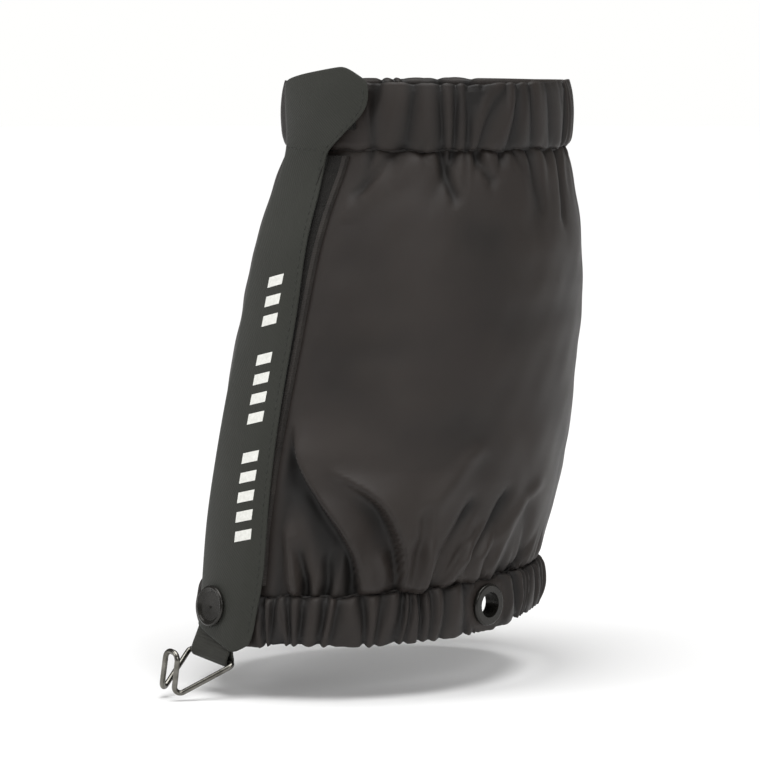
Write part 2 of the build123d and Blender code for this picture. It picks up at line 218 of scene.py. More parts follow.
class Gathers:
    """The uneven valleys that an elastic draws cloth into, along one line of stitches."""

    def __init__(self, span, rng, pitch, roundness):
        self.valleys = [span[0] - pitch]
        while self.valleys[-1] < span[1] + pitch:
            step = pitch * rng.choice((0.55, 0.8, 1.0, 1.3, 1.7)) * rng.uniform(0.85, 1.15)
            self.valleys.append(self.valleys[-1] + step)
        count = len(self.valleys)
        self.valleys = np.array(self.valleys)
        self.floors = np.array([rng.choice((0.0, 0.0, 0.15, 0.3)) for _ in range(count)])
        self.tops = np.array([rng.uniform(0.7, 1.0) for _ in range(count)])
        self.roundness = roundness
        self.slopes = np.array([0.16 * rng.gauss(0, 1) for _ in range(count)])

    def at(self, across, away):
        """The height of the gathers, from 0 in a valley to 1 on a ridge; away leans them over."""
        across = across - away * np.interp(across, self.valleys, self.slopes)
        i = np.clip(np.searchsorted(self.valleys, across) - 1, 0, len(self.valleys) - 2)
        share = np.clip((across - self.valleys[i]) / (self.valleys[i + 1] - self.valleys[i]), 0, 1)
        floor = self.floors[i] + (self.floors[i + 1] - self.floors[i]) * share
        return floor + (self.tops[i] - floor) * np.sin(np.pi * share) ** self.roundness


def gather(across, away, span, rng, pitch, depth, reach, lean=0.12):
    """Grooves that start at a line of stitches and widen and fade away from it."""
    total = np.zeros(np.broadcast(across, away).shape)
    place = span[0] + pitch * rng.uniform(0.2, 0.8)
    while place < span[1]:
        width = pitch * rng.uniform(0.14, 0.3)
        deep = depth * rng.uniform(0.35, 1.0)
        fade = reach * rng.choice((0.35, 0.6, 1.0, 1.6)) * rng.uniform(0.8, 1.2)
        slope = lean * rng.gauss(0, 1)
        spread = width * (1 + 1.1 * away / fade)
        beside = np.abs(across - place - slope * away) / spread
        total = total - deep * np.exp(-(beside**1.7)) * np.exp(-((away / fade) ** 1.3))
        place += pitch * rng.uniform(0.6, 1.5)
    return total


def along_path(angle, height, path, arc):
    """The distance to the side of a path of (degrees, height) points, and how far up it a height is."""
    points = sorted((up, np.radians(degrees)) for degrees, up in path)
    ups = np.array([point[0] for point in points])
    route = natural_spline(points) if len(points) > 2 else lambda z: np.interp(z, ups, [p[1] for p in points])
    clipped = np.clip(height, ups[0], ups[-1])
    step = 0.5
    slope = (arc(route(clipped + step)) - arc(route(clipped - step))) / (2 * step)
    aside = (arc(angle) - arc(route(clipped))) / np.sqrt(1 + slope**2)
    return aside, ups[0], ups[-1]


def crease(angle, height, path, rise, drop, valley=4.5, swell=13.0, fade=14.0):
    """A fold with a sharp edge: cloth swells on its far side and drops into a valley on its near side."""
    aside, low, high = along_path(angle, height, path, arc_body)
    ends = smooth(height, low - 6, low + 2) * (1 - smooth(height, high - fade, high + 4))
    edge = smooth(aside, -1.4, 1.0)
    bulge = rise * edge * np.exp(-np.clip(aside, 0, None) / swell)
    hollow = drop * (1 - edge) * np.exp(-(((aside + 1.4) / valley) ** 2))
    return 1.3 * (bulge - hollow) * ends


def ridge(angle, height, path, rise, width, fade=5.0):
    """A rounded fold along a path, or a groove where rise is negative."""
    aside, low, high = along_path(angle, height, path, arc_body)
    ends = smooth(height, low - fade, low + fade * 0.4) * (1 - smooth(height, high - fade * 0.6, high + fade))
    return rise * np.exp(-((aside / width) ** 2)) * ends


NEAR_CREASES = (
    (((18, 80), (26, 61.5), (39, 44.5), (49, 30), (52, 18)), 4.0, 2.9, 8.0),
    (((36, 61), (48, 54), (58, 42.5), (64, 29.5), (66, 14)), 3.8, 2.9, 10.0),
    (((122, 32), (120, 24), (114, 17)), 1.3, 1.3, 3.5),
    (((92, 42), (86, 32), (80, 19)), 1.2, 1.2, 4.0),
)
NEAR_RIDGES = (
    (((24, 40), (28, 28), (30, 18)), 2.2, 2.6),
    (((44, 36), (46, 27), (46, 18)), 1.8, 2.4),
    (((58, 30), (60, 24), (60, 18)), 2.0, 2.2),
    (((72, 34), (73, 26), (73, 18)), 2.2, 2.6),
    (((82, 68), (75, 57), (69, 45), (67, 36)), 1.5, 4.2),
    (((112, 52), (108, 47), (102, 37.5), (90, 27)), 1.3, 3.2),
    (((104, 36), (100, 25.5), (96, 19)), 1.2, 2.4),
    (((86, 36), (86, 28.5), (87, 19.5)), 1.4, 2.8),
    (((50, 175), (46, 171.5), (30, 160), (16, 150)), 1.1, 5.0),
    (((28, 60), (30, 40), (34, 22)), 1.0, 4.0),
)
NEAR_GROOVES = (
    (((28, 34), (32, 24), (34, 15)), -3.0, 2.0),
    (((40, 30), (41, 22), (41, 15)), -2.6, 2.0),
    (((68, 46), (69, 30), (68, 15)), -3.2, 2.6),
    (((84, 48), (79, 34), (76, 15)), -2.8, 2.4),
    (((98, 50), (92, 34), (84, 15)), -2.6, 2.2),
    (((56, 179), (58, 170), (63, 159)), -2.0, 2.0),
    (((69, 178), (71, 174), (77, 165)), -1.8, 2.3),
    (((36, 178), (32, 168), (25, 160)), -1.2, 2.0),
    (((97, 178), (99, 166), (100, 154)), -1.0, 2.6),
    (((118, 178), (117, 168), (114, 150)), -1.2, 2.2),
    (((19, 66), (20, 45), (22, 30), (24, 17)), -2.4, 3.0),
    (((31, 36), (32, 27), (33, 17)), -1.3, 2.2),
)


def near_folds(angle, height):
    """The larger folds that the near half's cloth has taken."""
    total = np.zeros(np.broadcast(angle, height).shape)
    for path, rise, drop, valley in NEAR_CREASES:
        total = total + crease(angle, height, path, rise, drop, valley)
    for path, rise, width in NEAR_RIDGES + NEAR_GROOVES:
        total = total + ridge(angle, height, path, rise, width)
    return total


def far_folds(angle, height):
    """The larger folds of the far half: other creases, in the same manner."""
    mirrored = -angle
    total = np.zeros(np.broadcast(angle, height).shape)
    for path, rise, drop in (
        (((64, 70), (72, 52), (80, 36), (84, 20)), 2.2, 2.0),
        (((98, 62), (106, 46), (110, 32), (112, 18)), 2.0, 1.8),
        (((136, 48), (140, 34), (143, 20)), 1.5, 1.4),
    ):
        total = total + crease(mirrored, height, path, rise, drop)
    for path, rise, width in (
        (((52, 60), (56, 42), (60, 22)), 1.2, 4.0),
        (((124, 58), (126, 40), (128, 22)), 1.3, 3.6),
        (((66, 178), (70, 166), (76, 150)), -1.7, 2.4),
        (((96, 178), (98, 168), (102, 158)), -1.4, 2.2),
        (((128, 178), (128, 166), (126, 152)), -1.5, 2.4),
    ):
        total = total + ridge(mirrored, height, path, rise, width)
    return total


# ---------------------------------------------------------------- meshes


def mesh_from_grid(name, points, cloth, keep=None, openness=None):
    """A mesh over a grid of points, with its flat cloth coordinates, in metres, as a UV layer.

    openness runs from 0, deep in a fold, to 1 on open cloth, and sets the painted shade in the fabric's
    colour.
    """
    rows, columns = points.shape[:2]
    faces = []
    for i in range(rows - 1):
        below, above = i * columns, (i + 1) * columns
        for j in range(columns - 1):
            face = (below + j, below + j + 1, above + j + 1, above + j)
            if keep is None or all(keep[k // columns, k % columns] for k in face):
                faces.append(face)
    mesh = bpy.data.meshes.new(name)
    mesh.from_pydata((points.reshape(-1, 3) * MM).tolist(), [], faces)
    layer = mesh.uv_layers.new(name="cloth")
    flat = (cloth.reshape(-1, 2) * MM)[[loop.vertex_index for loop in mesh.loops]]
    layer.data.foreach_set("uv", flat.astype(np.float32).ravel())
    if openness is not None:
        tone = mesh.attributes.new("openness", "FLOAT", "POINT")
        tone.data.foreach_set("value", np.broadcast_to(openness, (rows, columns)).astype(np.float32).ravel())
    mesh.polygons.foreach_set("use_smooth", [True] * len(mesh.polygons))
    piece = bpy.data.objects.new(name, mesh)
    bpy.context.scene.collection.objects.link(piece)
    return piece


def tidy_loose(piece):
    """Removes the points that no face uses."""
    work = bmesh.new()
    work.from_mesh(piece.data)
    loose = [vertex for vertex in work.verts if not vertex.link_faces]
    bmesh.ops.delete(work, geom=loose, context="VERTS")
    work.to_mesh(piece.data)
    work.free()


def thicken(piece, thickness, offset=-1.0, levels=0):
    """Gives a sheet its thickness, rounds it where asked, and keeps the result as its mesh."""
    solid = piece.modifiers.new("thickness", "SOLIDIFY")
    solid.thickness = thickness * MM
    solid.offset = offset
    if levels:
        rounded = piece.modifiers.new("rounding", "SUBSURF")
        rounded.levels = levels
        rounded.render_levels = levels
    evaluated = piece.evaluated_get(bpy.context.evaluated_depsgraph_get())
    mesh = bpy.data.meshes.new_from_object(evaluated)
    piece.modifiers.clear()
    piece.data = mesh
    return piece


def finish_piece(piece, material):
    """Gives a piece its one material."""
    piece.data.materials.clear()
    piece.data.materials.append(material)
    return piece


# ---------------------------------------------------------------- cloth halves


def body_cloth(name, side, front, folds, gathers, rng):
    """One half of the body: cloth from the hem stitches to the cuff stitches."""
    columns, rows = 210, 180
    share = np.linspace(0, 1, columns)[None, :]
    rise = np.linspace(0, 1, rows)[:, None]
    rise = rise - 0.07 * np.sin(4 * np.pi * rise) / 2
    low = HEM_LINE - 0.4
    height = low + (CUFF_LINE + 0.4 - low) * rise
    first = angle_at(front, height, PANEL_OUT)
    angle = first + (side * np.pi - first) * share
    height = height + hem_lift(angle) * (1 - smooth(height, 20, 120))
    under_cuff = np.clip(CUFF_LINE - height, 0, None)
    over_hem = np.clip(height - HEM_LINE - hem_lift(angle), 0, None)
    arc = arc_body(angle)
    cuff_arc, hem_arc = arc_cuff(angle), arc_hem(angle)
    height = height + seam_wave(cuff_arc) * np.exp(-under_cuff / 6)
    height = height + seam_wave(hem_arc) * np.exp(-over_hem / 6)
    span = sorted((arc_cuff(side * 0.2), arc_cuff(side * np.pi)))
    puckers = gather(cuff_arc, under_cuff, span, rng, 8.0, 2.6, 17.0, 0.22)
    span = sorted((arc_hem(side * 0.2), arc_hem(side * np.pi)))
    puckers = puckers + gather(hem_arc, over_hem, span, rng, 8.5, 2.4, 17.0, 0.25)
    puckers = puckers + 2.0 * (gathers[0].at(cuff_arc, -under_cuff) - 0.6) * np.exp(-under_cuff / 6.0)
    puckers = puckers + 2.3 * (gathers[1].at(hem_arc, -over_hem) - 0.6) * np.exp(-over_hem / 6.5)
    soft = ripple(arc, height, rng, 42.0, 0.5) + ripple(arc, height, rng, 15.0, 0.12)
    puff = 0.9 * (under_cuff / 7) * np.exp(1 - under_cuff / 7)
    puff = puff + 1.1 * (over_hem / 8) * np.exp(1 - over_hem / 8)
    position = on_form(angle, height, PANEL_OUT)
    front_gap = side * (position[..., 0] - (17.0 if side > 0 else FLAP_LEFT - 1.0))
    free = smooth(front_gap, 0.0, 7.0)
    seam_gap = np.abs(arc_body(side * np.pi) - arc)
    free = free * smooth(seam_gap, 0.5, 9.0)
    pinch = 1 - 0.45 * np.exp(-under_cuff / 1.5) - 0.45 * np.exp(-over_hem / 1.5)
    lift = (folds(angle, height) + puckers + soft + puff) * free
    near_line = smooth(under_cuff, -0.5, 2.0) * smooth(over_hem, -0.5, 2.0)
    lift = lift * (0.6 + 0.4 * near_line)
    seam = -1.1 * np.exp(-((seam_gap / 1.6) ** 2))
    out = np.maximum(PANEL_OUT * pinch + lift + seam, -1.6)
    points = on_form(angle, height, out)
    cloth = np.stack(np.broadcast_arrays(arc, height), axis=-1)
    # How open the cloth lies; the fabric's colour gets painted shade where it is folded in.
    openness = smooth(lift, -2.4, 0.9)
    return thicken(mesh_from_grid(name, points, cloth, openness=openness), CLOTH, offset=-side * 1.0)


# Each row of a casing's section: distance from the stitches, how far out, and how much of the
# gathers it takes outwards and towards its folded edge.
CASING_SECTION = (
    (0.0, 1.3, 0.75, 0.0),
    (0.8, 2.0, 0.85, 0.0),
    (2.4, 2.6, 0.95, 0.0),
    (6.5, 3.0, 1.0, 0.0),
    (12.0, 3.0, 1.0, 0.0),
    (18.0, 2.7, 0.8, 0.0),
    (21.8, 2.45, 0.5, 0.1),
    (23.6, 2.1, 0.4, 0.35),
    (24.3, 1.8, 0.3, 0.45),
    (23.8, 1.0, -0.3, 0.4),
    (22.0, 0.5, -0.6, 0.2),
    (12.0, 0.3, -0.8, 0.0),
    (3.0, 0.4, -0.5, 0.0),
    (-0.6, 0.6, -0.2, 0.0),
)

# The rows up to the folded edge lie outside the elastic, and stay this far out over it.
OUTER_ROWS = 8
OVER_ELASTIC = 2.85

# The pleats' depth, and the pitch and roundness of the gathers that they follow.
CUFF_PLEATS = 2.5
HEM_PLEATS = 3.2
CUFF_GATHERS = (7.2, 0.9)
HEM_GATHERS = (5.2, 1.4)

# How far from the middle of the front the pleats begin and are full, by side and by cuff or hem.
PLEATS_START = {
    (1, True): (20.0, 25.0),
    (1, False): (10.0, 16.0),
    (-1, True): (22.0, 27.0),
    (-1, False): (19.0, 25.0),
}

CUFF_EDGE = natural_spline([(0, 0.6), (30, 0.4), (60, 0.0), (100, 0.3), (150, 0.5), (180, 0.3)])
HEM_EDGE = natural_spline(
    [(0, 0), (12, 0.1), (20, 0.9), (30, 1.5), (44, 1.1), (54, 0.5), (65, 0.2), (80, 0.0)]
    + [(97, -0.5), (105, -0.6), (111, 0.3), (119, 1.1), (130, 1.4), (155, 0.9), (180, 0.5)]
)


def casing(name, side, front, gathers, rng, upwards, depth):
    """A gathered channel: cloth folded over an elastic and stitched to the body along one line."""
    columns, rows = 380, 56
    section = np.array(CASING_SECTION, float)
    travel = np.concatenate([[0], np.cumsum(np.hypot(*np.diff(section[:, :2], axis=0).T))])
    steps = np.linspace(0, travel[-1], rows)
    along, proud, share, drop = (
        natural_spline(list(zip(travel, section[:, k])))(steps)[:, None] for k in range(4)
    )
    line = CUFF_LINE if upwards else HEM_LINE
    tall = CUFF_HEIGHT if upwards else HEM_HEIGHT
    along = along * tall / CUFF_HEIGHT
    start = angle_at(front, line, 2.0)
    angle = start + (side * np.pi - start) * np.linspace(0, 1, columns)[None, :]
    arc = (arc_cuff if upwards else arc_hem)(angle)
    away = np.clip(along, 0, tall) + 0.0 * arc
    free = smooth(np.abs(arc[0, -1] - arc), 0.5, 5.0)
    from_front = side * half_width(line) * np.sin(angle)
    free = free * smooth(from_front, *PLEATS_START[side, upwards])
    keep = None
    if not upwards:
        eyelet = arc_hem(np.radians(side * EYELET_ANGLE))
        from_eyelet = np.hypot(arc - eyelet, along - (HEM_LINE - EYELET_HEIGHT))
        free = free * smooth(from_eyelet, EYELET_FLAT, EYELET_FLAT + 4.0)
        keep = from_eyelet > EYELET_BORE
    ends = sorted((arc[0, 0], arc[0, -1]))
    small = gather(arc, away, ends, rng, 7.0, 0.8, tall * 0.3, 0.25)
    small = small + gather(arc, tall - away, ends, rng, 7.0, 0.8, tall * 0.35, 0.25)
    pleats = (depth * (gathers.at(arc, away) - 0.12) + small) * free
    wave = ripple(arc, away, rng, 30.0, 0.3) * free
    out = proud + (pleats + wave) * share
    covering = smooth(along, 0.6, 2.2) * (1 - smooth(along, tall - 2.2, tall - 0.6))
    outer_rows = steps[:, None] <= travel[OUTER_ROWS]
    out = np.where(outer_rows, np.maximum(out, OVER_ELASTIC * covering), out)
    sag = (CUFF_EDGE if upwards else HEM_EDGE)(np.degrees(np.abs(angle))) * smooth(along / tall, 0.2, 1.0)
    reach = along + drop * (pleats - 0.4 * depth * free)
    sag = sag + seam_wave(arc) * (1 - smooth(along / tall, 0.0, 0.8))
    if upwards:
        height = line + reach + sag
    else:
        height = line + hem_lift(angle) - reach + sag
    points = on_form(angle, height, out)
    cloth = np.stack(np.broadcast_arrays(arc, steps[:, None] + 0.0 * arc), axis=-1)
    # How open the pleats lie; the fabric's colour gets painted shade in their valleys.
    openness = 1 - (1 - smooth(pleats, 0.0, 0.85 * depth)) * free
    piece = mesh_from_grid(name, points, cloth, keep, openness)
    tidy_loose(piece)
    return thicken(piece, CLOTH * 0.8, offset=-side if upwards else side)


def elastic_band(name, side, front, upwards):
    """The flat elastic inside a casing, from the front opening round to the rear seam."""
    columns, rows = 220, 12
    line, tall = (CUFF_LINE, CUFF_HEIGHT) if upwards else (HEM_LINE, HEM_HEIGHT)
    start = angle_at(front, line, ELASTIC_OUT)
    angle = start + (side * np.pi - start) * np.linspace(0, 1, columns)[None, :]
    arc = (arc_cuff if upwards else arc_hem)(angle)
    along = np.linspace(ELASTIC_MARGIN, tall - ELASTIC_MARGIN, rows)[:, None] + 0.0 * arc
    keep = None
    if not upwards:
        eyelet = arc_hem(np.radians(side * EYELET_ANGLE))
        keep = np.hypot(arc - eyelet, along - (HEM_LINE - EYELET_HEIGHT)) > EYELET_BORE
    height = line + along if upwards else line + hem_lift(angle) - along
    points = on_form(angle, height, ELASTIC_OUT)
    cloth = np.stack(np.broadcast_arrays(arc, along), axis=-1)
    piece = mesh_from_grid(name, points, cloth, keep)
    tidy_loose(piece)
    return thicken(piece, ELASTIC_THICK, offset=0.0)


# ---------------------------------------------------------------- the flap

FREE_EDGE = (
    (-6.0, 11.0),
    (-0.5, 14.2),
    (8.0, 15.6),
    (17.0, 16.7),
    (30.0, 17.5),
    (58.0, 16.6),
    (95.0, 15.1),
    (125.0, 14.2),
    (145.0, 12.6),
    (162.0, 11.0),
    (172.0, 9.7),
    (176.0, 11.0),
    (179.0, 14.0),
    (183.5, 18.7),
    (188.0, 23.4),
    (192.0, 26.0),
    (196.0, 26.8),
    (201.0, 26.0),
    (205.0, 23.4),
    (209.0, 20.4),
)
SEWN_EDGE = (
    (-6.0, -19.0),
    (2.0, -21.0),
    (100.0, -21.2),
    (176.0, -21.2),
    (192.0, -21.0),
    (200.0, -18.5),
    (209.0, -14.0),
)
TOP_EDGE = (
    (0.0, 196.0),
    (0.08, 200.0),
    (0.2, 202.4),
    (0.5, 204.6),
    (0.78, 206.2),
    (0.9, 205.6),
    (1.0, 201.5),
)
FOOT_EDGE = ((0.0, 3.5), (0.3, 1.4), (0.6, -1.6), (0.8, -3.8), (0.9, -4.3), (1.0, -1.6))

free_edge = natural_spline(FREE_EDGE)
sewn_edge = natural_spline(SEWN_EDGE)
top_edge = natural_spline(TOP_EDGE)
foot_edge = natural_spline(FOOT_EDGE)


def flap_out(x, height):
    """How far out the flap's face is: level over the tapes, lower at both edges and at the top."""
    drape = smooth(-x, 13.0, 21.5)
    level = FLAP_OUT + 0.1 * np.sin(height / 11.0) * np.cos(x / 7.0 + height / 37.0)
    free_side = smooth(x - free_edge(height), -7.0, 0.5) * (1 - smooth(height, 168, 180))
    level = level - 1.3 * free_side - 1.0 * smooth(height, 197, 207)
    return level + (3.1 - level) * drape


def flap_point(x, height, extra=0.0):
    """A point on the flap's face."""
    out = flap_out(x, height) + extra
    return on_form(angle_at(x, height, out), height, out)


def flap_place(across, up):
    """The x and height at shares across and up the flap."""
    low, high = foot_edge(across), top_edge(across)
    height = low + (high - low) * up
    left, right = sewn_edge(height), free_edge(height)
    return left + (right - left) * across, height


def flap_cloth():
    """The whole flap, from its sewn edge to its free edge, with its rounded pull tab."""
    columns, rows = 40, 190
    across = np.linspace(0, 1, columns)[None, :]
    across = across - 0.06 * np.sin(2 * np.pi * across) / 1.2
    up = np.linspace(0, 1, rows)[:, None]
    x, height = flap_place(across + 0 * up, up + 0 * across)
    points = flap_point(x, height)
    piece = mesh_from_grid("flap_cloth", points, np.stack([x, height], axis=-1))
    return thicken(piece, FLAP_THICK, offset=-1.0, levels=1)


def print_bars():
    """Plain slanted bars down the flap, in three groups, each a small patch just proud of the cloth."""
    bars = []
    first, pitch, tall, half, slant = 36.0, 7.0, 3.8, 3.5, 1.8
    skipped = (5, 10)
    slots, cells = 14, 8
    for slot in range(slots):
        if slot in skipped:
            continue
        bottom = first + slot * pitch
        middle = 9.0 - 0.06 * (bottom - first)
        u = np.linspace(-1, 1, cells * 2)[None, :]
        v = np.linspace(0, 1, cells)[:, None]
        x = middle + half * u + 0 * v
        height = bottom + tall * v + slant * u * 0.5
        points = flap_point(x, height, 0.1)
        bars.append(mesh_from_grid(f"print_bar_{slot}", points, np.stack([x, height], axis=-1)))
    return join("flap_print_bars", bars)


def join(name, pieces):
    """Makes one object of several."""
    with bpy.context.temp_override(
        active_object=pieces[0],
        object=pieces[0],
        selected_objects=pieces,
        selected_editable_objects=pieces,
    ):
        bpy.ops.object.join()
    pieces[0].name = name
    pieces[0].data.name = name
    return pieces[0]


# ---------------------------------------------------------------- webbing and threads

WEBBING_PATH = (
    (2.6, 13.0),
    (1.0, 9.0),
    (-0.5, 5.0),
    (-1.3, 2.2),
    (-1.6, 0.0),
    (-1.1, -1.2),
    (0.0, -1.6),
    (1.1, -1.2),
    (1.6, 0.0),
    (1.1, 2.2),
    (0.6, 5.0),
    (2.1, 9.0),
    (3.7, 13.0),
)


def webbing():
    """The ribbed strap that holds the hook: up from the bar, round it, and up again behind."""
    path = np.array(WEBBING_PATH, float)
    travel = np.concatenate([[0], np.cumsum(np.hypot(*np.diff(path, axis=0).T))])
    steps = np.linspace(0, travel[-1], 60)
    side, up = (natural_spline(list(zip(travel, path[:, k])))(steps)[:, None] for k in range(2))
    width = np.linspace(-0.5, 0.5, 24)[None, :] * WEBBING_WIDTH
    x = BAR_CENTRE[0] + width * np.cos(BAR_ROLL) + up * np.sin(BAR_ROLL)
    y = BAR_CENTRE[1] + side + 0 * width + 0.004 * width**2 * smooth(up, 1.0, 6.0)
    z = BAR_CENTRE[2] - width * np.sin(BAR_ROLL) + up * np.cos(BAR_ROLL)
    points = np.stack([x + 0 * y, y, z + 0 * y], axis=-1)
    cloth = np.stack(np.broadcast_arrays(width, steps[:, None]), axis=-1)
    piece = mesh_from_grid("hook_webbing", points, cloth)
    return thicken(piece, 1.0, offset=0.0, levels=1)


def stitches(name, places, outward, length=2.3, gap=0.9, radius=0.2):
    """Short rounded stitches along a line of points in millimetres; outward is each point's normal."""
    places = np.array(places, float)
    outward = np.array(outward, float)
    travel = np.concatenate([[0], np.cumsum(np.linalg.norm(np.diff(places, axis=0), axis=1))])
    rings = ((0.0, 0.25), (0.18, 0.8), (0.5, 1.0), (0.82, 0.8), (1.0, 0.25))
    sides = 6
    points, faces = [], []
    place = gap
    while place + length < travel[-1]:
        base = len(points)
        for share, size in rings:
            at = place + length * share
            centre = np.array([np.interp(at, travel, places[:, k]) for k in range(3)])
            ahead = np.array([np.interp(at + 0.3, travel, places[:, k]) for k in range(3)]) - centre
            normal = np.array([np.interp(at, travel, outward[:, k]) for k in range(3)])
            normal = normal / np.linalg.norm(normal)
            beside = np.cross(ahead, normal)
            beside = beside / max(np.linalg.norm(beside), 1e-6)
            dip = (size - 0.6) * radius * 1.2
            for k in range(sides):
                turn = 2 * np.pi * k / sides
                spoke = beside * np.cos(turn) + normal * np.sin(turn)
                points.append(centre + normal * dip + spoke * radius * size)
        for ring in range(len(rings) - 1):
            for k in range(sides):
                a = base + ring * sides
                b = a + sides
                n = (k + 1) % sides
                faces.append((a + k, a + n, b + n, b + k))
        faces.append(tuple(base + k for k in reversed(range(sides))))
        faces.append(tuple(base + (len(rings) - 1) * sides + k for k in range(sides)))
        place += length + gap
    mesh = bpy.data.meshes.new(name)
    mesh.from_pydata((np.array(points) * MM).tolist(), [], faces)
    mesh.polygons.foreach_set("use_smooth", [True] * len(mesh.polygons))
    piece = bpy.data.objects.new(name, mesh)
    bpy.context.scene.collection.objects.link(piece)
    return piece


def line_on_form(name, side, from_x, height, out, pitched=False):
    """Stitches around one half of the form, on a level line or on the hem's pitched line."""
    start = angle_at(from_x, height, out)
    angle = np.linspace(start, side * np.pi * 0.995, 240)
    arc = arc_hem if pitched else arc_cuff
    level = height + seam_wave(arc(angle)) + (hem_lift(angle) if pitched else 0)
    places = on_form(angle, level, out)
    return stitches(name, places, on_form(angle, level, out + 1) - places)


def line_on_flap(name, places):
    """Stitches along (x, height) places on the flap's face."""
    places = np.array(places, float)
    points = flap_point(places[:, 0], places[:, 1], 0.02)
    return stitches(name, points, flap_point(places[:, 0], places[:, 1], 1.0) - points, 2.0, 0.9, 0.16)


def free_edge_places(inset, low, high):
    heights = np.linspace(low, high, 240)
    return [(free_edge(z) - inset, z) for z in heights]


# ---------------------------------------------------------------- materials


class Nodes:
    """A material's node tree, with short ways to add and join nodes."""

    def __init__(self, name):
        self.material = bpy.data.materials.new(name)
        self.material.use_nodes = True
        self.tree = self.material.node_tree
        self.shader = self.tree.nodes["Principled BSDF"]

    def add(self, kind, **settings):
        node = self.tree.nodes.new(kind)
        for key, value in settings.items():
            if hasattr(node, key):
                setattr(node, key, value)
            else:
                node.inputs[key.replace("_", " ")].default_value = value
        return node

    def join(self, output, socket):
        self.tree.links.new(output, socket)

    def set(self, **values):
        for key, value in values.items():
            self.shader.inputs[key.replace("_", " ")].default_value = value


def linear(red, green, blue):
    """A colour given in display values, as the shader wants it."""
    values = [(c / 255) for c in (red, green, blue)]
    return tuple(c / 12.92 if c <= 0.04045 else ((c + 0.055) / 1.055) ** 2.4 for c in values) + (1.0,)


def tinted(nodes, vector, dark, light, scale, detail=3.0):
    """A colour that drifts between two tones over the surface."""
    cloud = nodes.add("ShaderNodeTexNoise", Scale=scale, Detail=detail, Roughness=0.55)
    nodes.join(vector, cloud.inputs["Vector"])
    ramp = nodes.add("ShaderNodeValToRGB")
    ramp.color_ramp.elements[0].position = 0.3
    ramp.color_ramp.elements[0].color = dark
    ramp.color_ramp.elements[1].position = 0.72
    ramp.color_ramp.elements[1].color = light
    nodes.join(cloud.outputs["Fac"], ramp.inputs["Fac"])
    return ramp.outputs["Color"]


def painted_fold_shade(nodes, colour, deepest_shade):
    """The fabric's colour with painted shade, darker where the cloth lies deep in a fold; a piece without the
    openness attribute is painted at its darkest all over.
    """
    openness = nodes.add("ShaderNodeAttribute", attribute_name="openness")
    tone = nodes.add("ShaderNodeMapRange", To_Min=deepest_shade, To_Max=1.0)
    nodes.join(openness.outputs["Fac"], tone.inputs["Value"])
    scaled = nodes.add("ShaderNodeVectorMath", operation="SCALE")
    nodes.join(colour, scaled.inputs[0])
    nodes.join(tone.outputs["Result"], scaled.inputs["Scale"])
    return scaled.outputs["Vector"]


def thread_waves(nodes, vector, per_metre, direction, profile="SIN"):
    """Parallel threads across one cloth direction, from 0 to 1."""
    wave = nodes.add("ShaderNodeTexWave", wave_type="BANDS", bands_direction=direction, wave_profile=profile)
    wave.inputs["Scale"].default_value = per_metre
    wave.inputs["Distortion"].default_value = 0.6
    wave.inputs["Detail"].default_value = 1.0
    nodes.join(vector, wave.inputs["Vector"])
    return wave.outputs["Fac"]


def combine(nodes, kind, first, second):
    node = nodes.add("ShaderNodeMath", operation=kind)
    nodes.join(first, node.inputs[0])
    if isinstance(second, float):
        node.inputs[1].default_value = second
    else:
        nodes.join(second, node.inputs[1])
    return node.outputs["Value"]


def bumped(nodes, height, depth_mm, strength=1.0):
    bump = nodes.add("ShaderNodeBump", Strength=strength, Distance=depth_mm * MM)
    nodes.join(height, bump.inputs["Height"])
    nodes.join(bump.outputs["Normal"], nodes.shader.inputs["Normal"])


def rough_drift(nodes, vector, low, high, scale):
    cloud = nodes.add("ShaderNodeTexNoise", Scale=scale, Detail=2.0)
    nodes.join(vector, cloud.inputs["Vector"])
    spread = nodes.add("ShaderNodeMapRange", To_Min=low, To_Max=high)
    nodes.join(cloud.outputs["Fac"], spread.inputs["Value"])
    nodes.join(spread.outputs["Result"], nodes.shader.inputs["Roughness"])


def woven(name, dark, light, threads_mm, bump_mm, rough, sheen, twill=False):
    """Woven cloth: drifting tone, painted shade in the folds of plain weave, crossing threads as fine bump,
    uneven gloss and a soft sheen.
    """
    nodes = Nodes(name)
    vector = nodes.add("ShaderNodeTexCoord").outputs["UV"]
    colour = tinted(nodes, vector, dark, light, 32.0)
    # Painted shade: plain-woven cloth is darkened in its folds; the twill is not.
    if not twill:
        colour = painted_fold_shade(nodes, colour, 0.22)
    nodes.join(colour, nodes.shader.inputs["Base Color"])
    # A wave texture makes one band in 2 pi / 20 units of scale.
    scale = 2 * np.pi / 20 / (threads_mm * MM)
    if twill:
        weave = thread_waves(nodes, vector, scale * 0.7, "DIAGONAL")
        other = thread_waves(nodes, vector, scale, "X")
        weave = combine(nodes, "MULTIPLY", weave, combine(nodes, "ADD", other, 0.6))
    else:
        warp = thread_waves(nodes, vector, scale, "X")
        weft = thread_waves(nodes, vector, scale, "Y")
        weave = combine(nodes, "MAXIMUM", warp, weft)
    fuzz = nodes.add("ShaderNodeTexNoise", Scale=900.0, Detail=2.0)
    nodes.join(vector, fuzz.inputs["Vector"])
    height = combine(nodes, "ADD", weave, combine(nodes, "MULTIPLY", fuzz.outputs["Fac"], 0.6))
    bumped(nodes, height, bump_mm)
    rough_drift(nodes, vector, rough - 0.05, rough + 0.07, 60.0)
    nodes.set(Sheen_Weight=sheen, Sheen_Roughness=0.45, Specular_IOR_Level=0.28)
    return nodes


def body_fabric():
    nodes = woven("body_fabric_cloth", linear(37, 31, 28), linear(42, 36, 32), 0.32, 0.035, 0.5, 0.05)
    nodes.set(Specular_IOR_Level=0.35)
    return nodes.material


def casing_fabric():
    nodes = woven("casing_fabric_cloth", linear(37, 31, 28), linear(42, 36, 32), 0.32, 0.035, 0.5, 0.05)
    nodes.set(Specular_IOR_Level=0.32)
    return nodes.material


